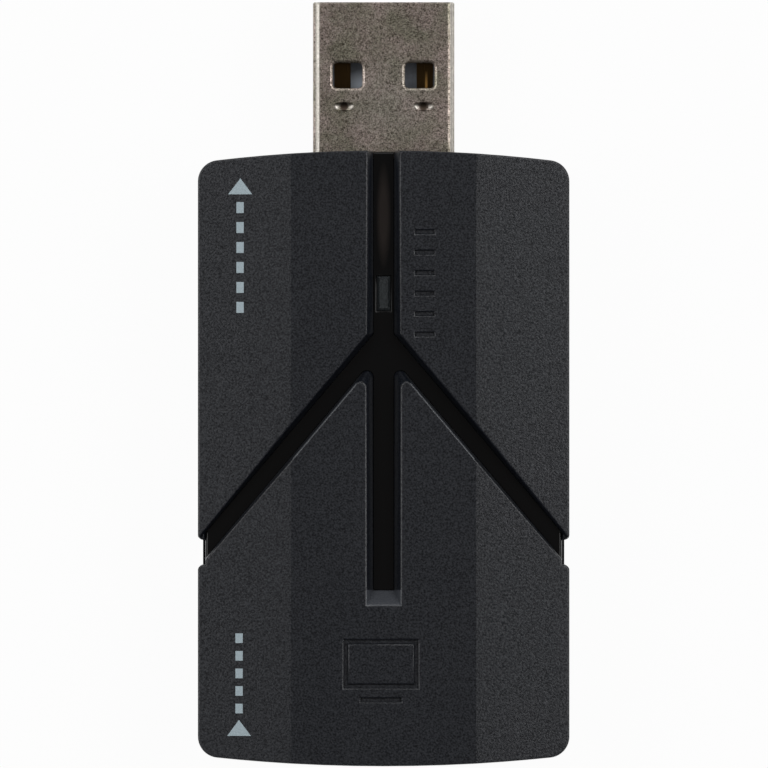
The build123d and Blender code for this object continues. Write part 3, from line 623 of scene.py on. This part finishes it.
# The inlay: a Y of glossy black plastic laid in the channel and folded down the sides and the plug
# end. It is moulded in a polished tool, so it shows soft reflections with hardly any grain, and it
# has a painted reflection, a brownish patch on its floor between the plug end and the window.
def inlay_plastic(tree, place):
    """Polished moulded ABS: near black, glossy, with faint flow waves about 2 mm apart."""
    wave_size = 2 * mm
    wave_height = 0.05 * mm
    dust_size = 0.1 * mm
    reflection_place = (0, 20.6 * mm, 0)
    reflection_size = (0.6 * mm, 4.2 * mm, 1 * mm)
    reflection_core = 0.5
    reflection_reach = 1.1
    wave = add(tree, "ShaderNodeTexNoise", {"Vector": place, "Scale": 1 / wave_size, "Detail": 1.0})
    dust = add(tree, "ShaderNodeTexNoise", {"Vector": place, "Scale": 1 / dust_size, "Detail": 2.0})
    gloss = add(tree, "ShaderNodeMapRange", {"Value": dust.outputs["Fac"], "To Min": 0.14, "To Max": 0.26})
    relief = add(tree, "ShaderNodeBump", {
        "Height": wave.outputs["Fac"], "Strength": 0.25, "Distance": wave_height,
    })
    # Painted reflection: a brownish patch on the floor between the plug end and the window.
    centred = add(tree, "ShaderNodeMapping", {
        "Vector": place, "Location": reflection_place, "Scale": reflection_size,
    }, vector_type="TEXTURE")
    flat = add(tree, "ShaderNodeVectorMath", {0: centred.outputs[0], 1: (1, 1, 0)}, operation="MULTIPLY")
    reach = add(tree, "ShaderNodeVectorMath", {0: flat.outputs[0]}, operation="LENGTH")
    painted_reflection = add(tree, "ShaderNodeMapRange", {
        "Value": reach.outputs["Value"], "From Min": reflection_reach, "From Max": reflection_core,
    })
    tone = add(tree, "ShaderNodeMixRGB", {
        "Fac": painted_reflection.outputs[0], "Color1": to_linear("#070708"), "Color2": to_linear("#2a2523"),
    })
    return add(tree, "ShaderNodeBsdfPrincipled", {
        "Base Color": tone.outputs["Color"], "Roughness": gloss.outputs[0], "IOR": 1.5,
        "Specular IOR Level": 0.3, "Normal": relief.outputs["Normal"],
    }).outputs[0]


strip_round = 0.09 * mm
strip_segments = 2
groove_strip = copy_of("groove_inlay", "groove_strip")
break_edges(groove_strip, strip_round, strip_segments)
shade(groove_strip, finish_as("polished_black_abs", inlay_plastic))
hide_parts("groove_inlay")


# The status window: the end of a clear rod that carries the light up from the board. Its tool was
# polished and its rim is bevelled, and the hole's broken edge shows round it as a thin pale line.
def window_plastic(tree, place):
    """Clear polycarbonate with a smoky tint, smooth, with a faint haze inside."""
    haze_size = 0.4 * mm
    speck_size = 0.14 * mm
    haze = add(tree, "ShaderNodeTexNoise", {"Vector": place, "Scale": 1 / haze_size, "Detail": 2.0})
    gloss = add(tree, "ShaderNodeMapRange", {"Value": haze.outputs["Fac"], "To Min": 0.12, "To Max": 0.24})
    speck = add(tree, "ShaderNodeTexNoise", {"Vector": place, "Scale": 1 / speck_size, "Detail": 2.0})
    cloud = add(tree, "ShaderNodeMapRange", {
        "Value": speck.outputs["Fac"], "From Min": 0.35, "From Max": 0.65,
    })
    tone = add(tree, "ShaderNodeMixRGB", {
        "Fac": cloud.outputs[0], "Color1": to_linear("#32373a"), "Color2": to_linear("#5a6064"),
    })
    return add(tree, "ShaderNodeBsdfPrincipled", {
        "Base Color": tone.outputs["Color"], "Roughness": gloss.outputs[0], "IOR": 1.58,
        "Transmission Weight": 0.55,
    }).outputs[0]


def dress(nodes, finish):
    """Give carried-over CAD nodes their finish."""
    for name in nodes:
        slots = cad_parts[name].data.materials
        slots.clear()
        slots.append(finish)


dress(["status_light_guide"], finish_as("smoky_clear_polycarbonate", window_plastic))


# The plug's shell: steel strip, stamped, folded and nickel plated. Tumbling left its faces covered
# in fine curly scratches. The stamping's rims and rounded sides are brighter than its faces, and the
# rounded sides also carry painted highlights.
# Where the painted sheen in the middle of the plug's top is centred.
plate_sheen_x = 0.4 * mm
plate_sheen_y = along(100)
plate_sheen_place = (plate_sheen_x, plate_sheen_y, case_top)
# The middle and half the width of each painted highlight strip on the rounded sides.
left_highlight = (-5.60 * mm, 0.15 * mm)
right_highlight = (5.78 * mm, 0.10 * mm)
zone_fade = 0.06 * mm
dimple_length = 1.7 * mm
dimple_width = 0.76 * mm
dimple_depth = 0.19 * mm
dimple_spacing = 6.74 * mm
dimple_end = 0.60 * mm
dimple_inset = 8.86 * mm
plug_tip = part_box("plug_shell")[1]
plug_top = plug_tip.z
dimple_y = plug_tip.y - dimple_inset


def plug_steel(tree, place):
    """Nickel-plated steel, tumbled: warm grey, dull, clouded about every 2 mm, with curly
    scratches. They are about 0.1 mm apart and are drawn at 0.16 mm so that they show. The faint
    green and pink cast fades out in the middle as a painted sheen, and the rounded sides carry
    painted highlights as pale strips. The dimples have painted shade in the middle and painted
    highlights at their ends."""
    scratch_gap = 0.16 * mm
    scratch_depth = 0.004 * mm
    patch_size = 3.5 * mm
    cloud_size = 2.2 * mm
    plate_sheen_core = 2 * mm
    plate_sheen_reach = 6 * mm
    dimple_end_core = 0.20 * mm
    dimple_end_reach = 0.30 * mm
    dimple_core = 0.3 * mm
    dimple_reach = 0.5 * mm
    swirl = add(tree, "ShaderNodeTexNoise", {
        "Vector": place, "Scale": 1 / scratch_gap, "Detail": 3.0, "Distortion": 1.6,
    })
    patch = add(tree, "ShaderNodeTexNoise", {"Vector": place, "Scale": 1 / patch_size, "Detail": 3.0})
    contrast = add(tree, "ShaderNodeMapRange", {
        "Value": swirl.outputs["Fac"], "From Min": 0.38, "From Max": 0.62,
    })
    face_tone = add(tree, "ShaderNodeMixRGB", {
        "Fac": contrast.outputs[0], "Color1": to_linear("#5e574f"), "Color2": to_linear("#dcd4cb"),
    })
    highlight_tone = add(tree, "ShaderNodeMixRGB", {
        "Fac": contrast.outputs[0], "Color1": to_linear("#b4afa6"), "Color2": to_linear("#dad5cd"),
    })
    cloud = add(tree, "ShaderNodeTexNoise", {"Vector": place, "Scale": 1 / cloud_size, "Detail": 2.0})
    stain = add(tree, "ShaderNodeMapRange", {
        "Value": cloud.outputs["Fac"], "From Min": 0.36, "From Max": 0.64,
    })
    stained = add(tree, "ShaderNodeMixRGB", {
        "Fac": stain.outputs[0], "Color1": to_linear("#d4d6ca"), "Color2": to_linear("#f4eaea"),
    })
    # Painted sheen: the cast fades out towards a paler middle of the top.
    from_plate_sheen = add(tree, "ShaderNodeVectorMath", {0: place, 1: plate_sheen_place}, operation="DISTANCE")
    plate_sheen = add(tree, "ShaderNodeMapRange", {
        "Value": from_plate_sheen.outputs["Value"], "From Min": plate_sheen_reach, "From Max": plate_sheen_core,
    })
    stained = add(tree, "ShaderNodeMixRGB", {
        "Fac": plate_sheen.outputs[0], "Color1": stained.outputs["Color"], "Color2": to_linear("#ffffff"),
    })
    face_tone = add(tree, "ShaderNodeMixRGB", {
        "Fac": 1.0, "Color1": face_tone.outputs["Color"], "Color2": stained.outputs["Color"],
    }, blend_type="MULTIPLY")
    axes = add(tree, "ShaderNodeSeparateXYZ", {0: place})
    off_centre = add(tree, "ShaderNodeMath", {0: axes.outputs["X"]}, operation="ABSOLUTE")
    # Painted highlights: pale strips on the plug's rounded sides.
    zones = []
    for middle, half in (left_highlight, right_highlight):
        off_zone = add(tree, "ShaderNodeMath", {0: axes.outputs["X"], 1: middle}, operation="SUBTRACT")
        off_zone = add(tree, "ShaderNodeMath", {0: off_zone.outputs[0]}, operation="ABSOLUTE")
        zones.append(add(tree, "ShaderNodeMapRange", {
            "Value": off_zone.outputs[0], "From Min": half + zone_fade, "From Max": half,
        }).outputs[0])
    # Painted highlights at the ends of each dimple.
    from_dimple = add(tree, "ShaderNodeMath", {0: off_centre.outputs[0], 1: dimple_spacing / 2},
                      operation="SUBTRACT")
    from_dimple = add(tree, "ShaderNodeMath", {0: from_dimple.outputs[0]}, operation="ABSOLUTE")
    along_dimple = add(tree, "ShaderNodeMath", {0: axes.outputs["Y"], 1: dimple_y}, operation="SUBTRACT")
    from_end = add(tree, "ShaderNodeMath", {0: from_dimple.outputs[0], 1: dimple_end}, operation="SUBTRACT")
    off_top = add(tree, "ShaderNodeMath", {0: axes.outputs["Z"], 1: plug_top}, operation="SUBTRACT")
    to_end = add(tree, "ShaderNodeCombineXYZ", {
        0: from_end.outputs[0], 1: along_dimple.outputs[0], 2: off_top.outputs[0],
    })
    off_end = add(tree, "ShaderNodeVectorMath", {0: to_end.outputs[0]}, operation="LENGTH")
    zones.append(add(tree, "ShaderNodeMapRange", {
        "Value": off_end.outputs["Value"], "From Min": dimple_end_reach, "From Max": dimple_end_core,
    }).outputs[0])
    # Painted shade in the middle of each dimple.
    to_middle = add(tree, "ShaderNodeCombineXYZ", {
        0: from_dimple.outputs[0], 1: along_dimple.outputs[0], 2: off_top.outputs[0],
    })
    off_middle = add(tree, "ShaderNodeVectorMath", {0: to_middle.outputs[0]}, operation="LENGTH")
    shade_in = add(tree, "ShaderNodeMapRange", {
        "Value": off_middle.outputs["Value"], "From Min": dimple_reach, "From Max": dimple_core,
    })
    face_tone = add(tree, "ShaderNodeMixRGB", {
        "Fac": shade_in.outputs[0], "Color1": face_tone.outputs["Color"], "Color2": to_linear("#4a4038"),
    })
    highlit = zones[0]
    for zone in zones[1:]:
        highlit = add(tree, "ShaderNodeMath", {0: highlit, 1: zone}, operation="MAXIMUM").outputs[0]
    tone = add(tree, "ShaderNodeMixRGB", {
        "Fac": highlit, "Color1": face_tone.outputs["Color"], "Color2": highlight_tone.outputs["Color"],
    })
    dull = add(tree, "ShaderNodeMapRange", {"Value": patch.outputs["Fac"], "To Min": 0.26, "To Max": 0.40})
    relief = add(tree, "ShaderNodeBump", {
        "Height": contrast.outputs[0], "Strength": 1.0, "Distance": scratch_depth,
    })
    return add(tree, "ShaderNodeBsdfPrincipled", {
        "Base Color": tone.outputs["Color"], "Metallic": 1.0, "Roughness": dull.outputs[0],
        "Normal": relief.outputs["Normal"],
    }).outputs[0]


tumbled_nickel = finish_as("tumbled_nickel_plate", plug_steel)
# The solids' flat-bottomed dimples are filled, and rounded ones are pressed in the same places.
fill_grow = 0.1 * mm
fill_sink = 0.22 * mm
punch_segments = 32
punch_rings = 16
# The radius of a ball that leaves a dimple of this width and depth.
dimple_radius = (dimple_width ** 2 / 4 + dimple_depth ** 2) / (2 * dimple_depth)


def dimple_punch(name, x):
    """The round-ended punch that presses one dimple."""
    bm = bmesh.new()
    end_spread = (dimple_length - dimple_width) / 2
    ball = bmesh.ops.create_uvsphere(bm, u_segments=punch_segments, v_segments=punch_rings,
                                     radius=dimple_radius)["verts"]
    bmesh.ops.rotate(bm, verts=ball, cent=(0, 0, 0), matrix=Matrix.Rotation(math.pi / 2, 3, "Y"))
    for corner in ball:
        if abs(corner.co.x) > merge_distance:
            corner.co.x += math.copysign(end_spread, corner.co.x)
    bmesh.ops.translate(bm, verts=ball, vec=(x, dimple_y, plug_top - dimple_depth + dimple_radius))
    made = bpy.data.meshes.new(name)
    bm.to_mesh(made)
    bm.free()
    punch = bpy.data.objects.new(name, made)
    scene.collection.objects.link(punch)
    return punch


window_round = 0.15 * mm
window_segments = 4
windows_low = along(95)
windows_high = along(55)


def round_window_rims(piece):
    """Round the upper rims of the plug's two windows, as the stamping's dragged edge is."""
    bm = bmesh.new()
    bm.from_mesh(piece.data)
    chosen = [
        edge for edge in bm.edges
        if edge.is_manifold and edge.is_convex and edge.calc_face_angle() > sharp_angle
        and all(abs(end.co.z - plug_top) < merge_distance for end in edge.verts)
        and all(windows_low < end.co.y < windows_high for end in edge.verts)
    ]
    bmesh.ops.bevel(bm, geom=chosen, offset=window_round, offset_type="OFFSET", segments=window_segments,
                    affect="EDGES", profile=0.5, material=-1, clamp_overlap=False)
    bm.to_mesh(piece.data)
    bm.free()


plug_tube = copy_of("plug_shell", "plug_tube")
round_window_rims(plug_tube)
for side in (-1, 1):
    x = side * dimple_spacing / 2
    fill = (
        x, dimple_y, dimple_length + fill_grow, dimple_width + fill_grow, plug_top - fill_sink, plug_top,
    )
    combine(plug_tube, mark_piece("dimple_fill", [fill]), "UNION")
    combine(plug_tube, dimple_punch("dimple_punch", x), "DIFFERENCE")
shade(plug_tube, tumbled_nickel)
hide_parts("plug_shell")


# The plug's tongue and the video socket's block: glass-filled plastic, moulded round the contacts.
# It is matt, dark and slightly mottled where the glass lies near the face.
tongue_drop = 2.25 * mm
# Where the painted sheen on the tongue is centred.
tongue_sheen_x = across(361.5)
tongue_sheen_y = along(86)
tongue_sheen_place = (tongue_sheen_x, tongue_sheen_y, plug_top - tongue_drop)


def insulator_plastic(tree, place):
    """Glass-filled moulding: blue-black, matt, with streaks about 0.3 mm wide, and a painted sheen,
    a pale spot on the tongue."""
    streak_size = 0.3 * mm
    streak_height = 0.01 * mm
    tongue_sheen_core = 0.3 * mm
    tongue_sheen_reach = 1.5 * mm
    streak = add(tree, "ShaderNodeTexNoise", {"Vector": place, "Scale": 1 / streak_size, "Detail": 3.0})
    tone = add(tree, "ShaderNodeMixRGB", {
        "Fac": streak.outputs["Fac"], "Color1": to_linear("#4b5058"), "Color2": to_linear("#6a7079"),
    })
    # Painted sheen: a pale spot on the tongue.
    off_tongue_sheen = add(tree, "ShaderNodeVectorMath", {0: place, 1: tongue_sheen_place}, operation="DISTANCE")
    tongue_sheen = add(tree, "ShaderNodeMapRange", {
        "Value": off_tongue_sheen.outputs["Value"], "From Min": tongue_sheen_reach, "From Max": tongue_sheen_core,
    })
    tone = add(tree, "ShaderNodeMixRGB", {
        "Fac": tongue_sheen.outputs[0], "Color1": tone.outputs["Color"], "Color2": to_linear("#c3ccd8"),
    })
    relief = add(tree, "ShaderNodeBump", {
        "Height": streak.outputs["Fac"], "Strength": 0.3, "Distance": streak_height,
    })
    return add(tree, "ShaderNodeBsdfPrincipled", {
        "Base Color": tone.outputs["Color"], "Roughness": 0.5, "IOR": 1.6,
        "Normal": relief.outputs["Normal"],
    }).outputs[0]


dress(["plug_insulator", "socket_insulator"], finish_as("glass_filled_black_polyester", insulator_plastic))


# The contacts of the plug and of the video socket: stamped bronze strip with a thin gold flash over
# nickel. The flash is smooth along the strip's length, with fine rolling lines. Its tone is darkened
# to a dark amber as painted shade for the depth of the plug.
def gilt(tree, place):
    """Gold-flashed bronze: shiny, darkened to a dark amber as painted shade, with lines along the strip
    0.06 mm apart, and a painted highlight, one bright line on the ground contact."""
    line_gap = 0.06 * mm
    line_stretch = (1.0, 0.05, 1.0)
    glint_x = 3.62 * mm
    glint_from = along(70)
    glint_full = along(84)
    glint_core = 0.05 * mm
    glint_reach = 0.14 * mm
    stretched = add(tree, "ShaderNodeMapping", {"Vector": place, "Scale": line_stretch})
    line = add(tree, "ShaderNodeTexNoise", {
        "Vector": stretched.outputs[0], "Scale": 1 / line_gap, "Detail": 2.0,
    })
    gloss = add(tree, "ShaderNodeMapRange", {"Value": line.outputs["Fac"], "To Min": 0.16, "To Max": 0.32})
    # Painted shade: the gold is darkened to a dark amber.
    tone = add(tree, "ShaderNodeMixRGB", {
        "Fac": line.outputs["Fac"], "Color1": to_linear("#40321f"), "Color2": to_linear("#5c472b"),
    })
    # Painted highlight: a bright line on the ground contact, brightest towards the case.
    axes = add(tree, "ShaderNodeSeparateXYZ", {0: place})
    from_middle = add(tree, "ShaderNodeMath", {0: axes.outputs["X"], 1: glint_x}, operation="SUBTRACT")
    off_line = add(tree, "ShaderNodeMath", {0: from_middle.outputs[0]}, operation="ABSOLUTE")
    painted_highlight = add(tree, "ShaderNodeMapRange", {
        "Value": off_line.outputs[0], "From Min": glint_reach, "From Max": glint_core,
    })
    towards_case = add(tree, "ShaderNodeMapRange", {
        "Value": axes.outputs["Y"], "From Min": glint_from, "From Max": glint_full,
    })
    painted_highlight = add(tree, "ShaderNodeMath", {0: painted_highlight.outputs[0], 1: towards_case.outputs[0]},
                 operation="MULTIPLY")
    highlit = add(tree, "ShaderNodeMixRGB", {
        "Fac": painted_highlight.outputs[0], "Color1": tone.outputs["Color"], "Color2": to_linear("#ffc878"),
    })
    return add(tree, "ShaderNodeBsdfPrincipled", {
        "Base Color": highlit.outputs["Color"], "Metallic": 1.0, "Roughness": gloss.outputs[0],
    }).outputs[0]


dress([
    "power_contact", "data_minus_contact", "data_plus_contact", "ground_contact",
    "socket_upper_contacts", "socket_lower_contacts",
], finish_as("gold_flashed_bronze", gilt))


# The video socket's shell: brass strip, stamped, folded and bright nickel plated, with spring
# fingers. It is smoother than the plug's shell, because it was plated and never tumbled.
def socket_steel(tree, place):
    """Bright nickel plate over rolled strip: pale, shiny, with faint rolling lines along Y."""
    line_gap = 0.08 * mm
    line_stretch = (1.0, 0.04, 1.0)
    line_height = 0.005 * mm
    stretched = add(tree, "ShaderNodeMapping", {"Vector": place, "Scale": line_stretch})
    line = add(tree, "ShaderNodeTexNoise", {
        "Vector": stretched.outputs[0], "Scale": 1 / line_gap, "Detail": 3.0,
    })
    gloss = add(tree, "ShaderNodeMapRange", {"Value": line.outputs["Fac"], "To Min": 0.18, "To Max": 0.34})
    relief = add(tree, "ShaderNodeBump", {
        "Height": line.outputs["Fac"], "Strength": 0.2, "Distance": line_height,
    })
    return add(tree, "ShaderNodeBsdfPrincipled", {
        "Base Color": to_linear("#cfcac2"), "Metallic": 1.0, "Roughness": gloss.outputs[0],
        "Normal": relief.outputs["Normal"],
    }).outputs[0]


dress(["socket_shell"], finish_as("bright_nickel_plate", socket_steel))


# The circuit board: glass-fibre laminate under green solder resist, cut to the inside of the case
# and held by its four pins. The weave prints faintly through the resist.
def board_laminate(tree, place):
    """Solder resist over woven glass: green, satin, with the weave showing faintly. The real weave
    is about 0.5 mm and is drawn at 0.94 mm so that it shows. The wave node makes 20 / 2 pi bands
    in a unit."""
    weave_gap = 0.9425 * mm
    weave_height = 0.01 * mm
    cloud_size = 1.5 * mm
    bands_in_unit = 20 / math.tau
    weave = add(tree, "ShaderNodeTexWave", {
        "Vector": place, "Scale": 1 / weave_gap / bands_in_unit, "Distortion": 0.5,
    })
    cloud = add(tree, "ShaderNodeTexNoise", {"Vector": place, "Scale": 1 / cloud_size, "Detail": 4.0})
    tone = add(tree, "ShaderNodeMixRGB", {
        "Fac": cloud.outputs["Fac"], "Color1": to_linear("#0d3b22"), "Color2": to_linear("#175232"),
    })
    relief = add(tree, "ShaderNodeBump", {
        "Height": weave.outputs["Fac"], "Strength": 0.15, "Distance": weave_height,
    })
    return add(tree, "ShaderNodeBsdfPrincipled", {
        "Base Color": tone.outputs["Color"], "Roughness": 0.32, "Normal": relief.outputs["Normal"],
    }).outputs[0]


dress(["circuit_board"], finish_as("green_solder_resist", board_laminate))


# The chips, the regulator, the surge protectors and the resistors: parts moulded in filled epoxy or
# coated with it, and soldered to the board. It is matt near-black with a fine sandy grain.
def chip_resin(tree, place):
    """Filled epoxy: near black, matt, with a sandy grain of 0.08 mm."""
    sand_size = 0.08 * mm
    sand_height = 0.01 * mm
    sand = add(tree, "ShaderNodeTexNoise", {"Vector": place, "Scale": 1 / sand_size, "Detail": 2.0})
    tone = add(tree, "ShaderNodeMixRGB", {
        "Fac": sand.outputs["Fac"], "Color1": to_linear("#1a1a1b"), "Color2": to_linear("#2a2a2b"),
    })
    relief = add(tree, "ShaderNodeBump", {
        "Height": sand.outputs["Fac"], "Strength": 0.4, "Distance": sand_height,
    })
    return add(tree, "ShaderNodeBsdfPrincipled", {
        "Base Color": tone.outputs["Color"], "Roughness": 0.62, "Normal": relief.outputs["Normal"],
    }).outputs[0]


dress(
    ["capture_chip", "memory_chip", "voltage_regulator", "surge_protectors", "resistors"],
    finish_as("filled_black_epoxy", chip_resin),
)


# The chips' leads: copper strip, bent in a press and dipped in tin, so they are pale and softly
# uneven, with a satin shine.
def tinned_lead(tree, place):
    """Dipped tin: pale grey, satin, with soft lumps about 0.2 mm apart."""
    lump_size = 0.2 * mm
    lump_height = 0.01 * mm
    lump = add(tree, "ShaderNodeTexNoise", {"Vector": place, "Scale": 1 / lump_size, "Detail": 2.0})
    gloss = add(tree, "ShaderNodeMapRange", {"Value": lump.outputs["Fac"], "To Min": 0.25, "To Max": 0.45})
    relief = add(tree, "ShaderNodeBump", {
        "Height": lump.outputs["Fac"], "Strength": 0.3, "Distance": lump_height,
    })
    return add(tree, "ShaderNodeBsdfPrincipled", {
        "Base Color": to_linear("#cccdd0"), "Metallic": 1.0, "Roughness": gloss.outputs[0],
        "Normal": relief.outputs["Normal"],
    }).outputs[0]


dress(["capture_chip_leads", "memory_chip_leads"], finish_as("dipped_tin", tinned_lead))


# The crystal: quartz in a ceramic tray, closed by a seam-welded lid of nickel-iron that is brushed
# along one side. The tray is soldered flat to the board.
def crystal_lid(tree, place):
    """Brushed nickel-iron: pale, satin, with lines along X 0.05 mm apart."""
    line_gap = 0.05 * mm
    line_stretch = (0.05, 1.0, 1.0)
    stretched = add(tree, "ShaderNodeMapping", {"Vector": place, "Scale": line_stretch})
    line = add(tree, "ShaderNodeTexNoise", {
        "Vector": stretched.outputs[0], "Scale": 1 / line_gap, "Detail": 2.0,
    })
    gloss = add(tree, "ShaderNodeMapRange", {"Value": line.outputs["Fac"], "To Min": 0.28, "To Max": 0.42})
    return add(tree, "ShaderNodeBsdfPrincipled", {
        "Base Color": to_linear("#c9c3b6"), "Metallic": 1.0, "Roughness": gloss.outputs[0],
    }).outputs[0]


dress(["crystal"], finish_as("brushed_nickel_iron", crystal_lid))


# The power inductor: a wound coil pressed inside iron powder, with a dull grey ground face. It is
# soldered to the board by its two end plates.
def pressed_powder(tree, place):
    """Pressed iron powder: dark grey, matt, with grains of 0.15 mm and tiny bright specks."""
    grit_size = 0.15 * mm
    grit_height = 0.01 * mm
    grit = add(tree, "ShaderNodeTexVoronoi", {"Vector": place, "Scale": 1 / grit_size})
    tone = add(tree, "ShaderNodeMixRGB", {
        "Fac": grit.outputs["Distance"], "Color1": to_linear("#3a3a3c"), "Color2": to_linear("#57575a"),
    })
    relief = add(tree, "ShaderNodeBump", {
        "Height": grit.outputs["Distance"], "Strength": 0.4, "Distance": grit_height,
    })
    return add(tree, "ShaderNodeBsdfPrincipled", {
        "Base Color": tone.outputs["Color"], "Roughness": 0.6, "Normal": relief.outputs["Normal"],
    }).outputs[0]


dress(["power_inductor"], finish_as("pressed_iron_powder", pressed_powder))


# The capacitors: stacks of thin ceramic and metal layers, fired together, so they are tan and satin.
# They are soldered to the board by their dipped ends.
def fired_ceramic(tree, place):
    """Fired barium ceramic: tan, satin, slightly mottled every 0.25 mm."""
    mottle_size = 0.25 * mm
    mottle = add(tree, "ShaderNodeTexNoise", {"Vector": place, "Scale": 1 / mottle_size, "Detail": 3.0})
    tone = add(tree, "ShaderNodeMixRGB", {
        "Fac": mottle.outputs["Fac"], "Color1": to_linear("#8d7a5f"), "Color2": to_linear("#a8937a"),
    })
    return add(tree, "ShaderNodeBsdfPrincipled", {
        "Base Color": tone.outputs["Color"], "Roughness": 0.42,
    }).outputs[0]


dress(["capacitors"], finish_as("fired_tan_ceramic", fired_ceramic))


# The status light: a light-emitting chip in a white moulded cup, under a lens of cast clear resin.
# It is soldered to the board below the window's rod.
def lens_resin(tree, place):
    """White moulded cup under cast resin: milky, glossy, with faint clouds."""
    cloud_size = 0.5 * mm
    milk_depth = 0.5 * mm
    cloud = add(tree, "ShaderNodeTexNoise", {"Vector": place, "Scale": 1 / cloud_size, "Detail": 2.0})
    tone = add(tree, "ShaderNodeMixRGB", {
        "Fac": cloud.outputs["Fac"], "Color1": to_linear("#d9dad2"), "Color2": to_linear("#e9e9e2"),
    })
    return add(tree, "ShaderNodeBsdfPrincipled", {
        "Base Color": tone.outputs["Color"], "Roughness": 0.25, "Subsurface Weight": 0.1,
        "Subsurface Scale": milk_depth,
    }).outputs[0]


dress(["status_light"], finish_as("cast_clear_resin", lens_resin))
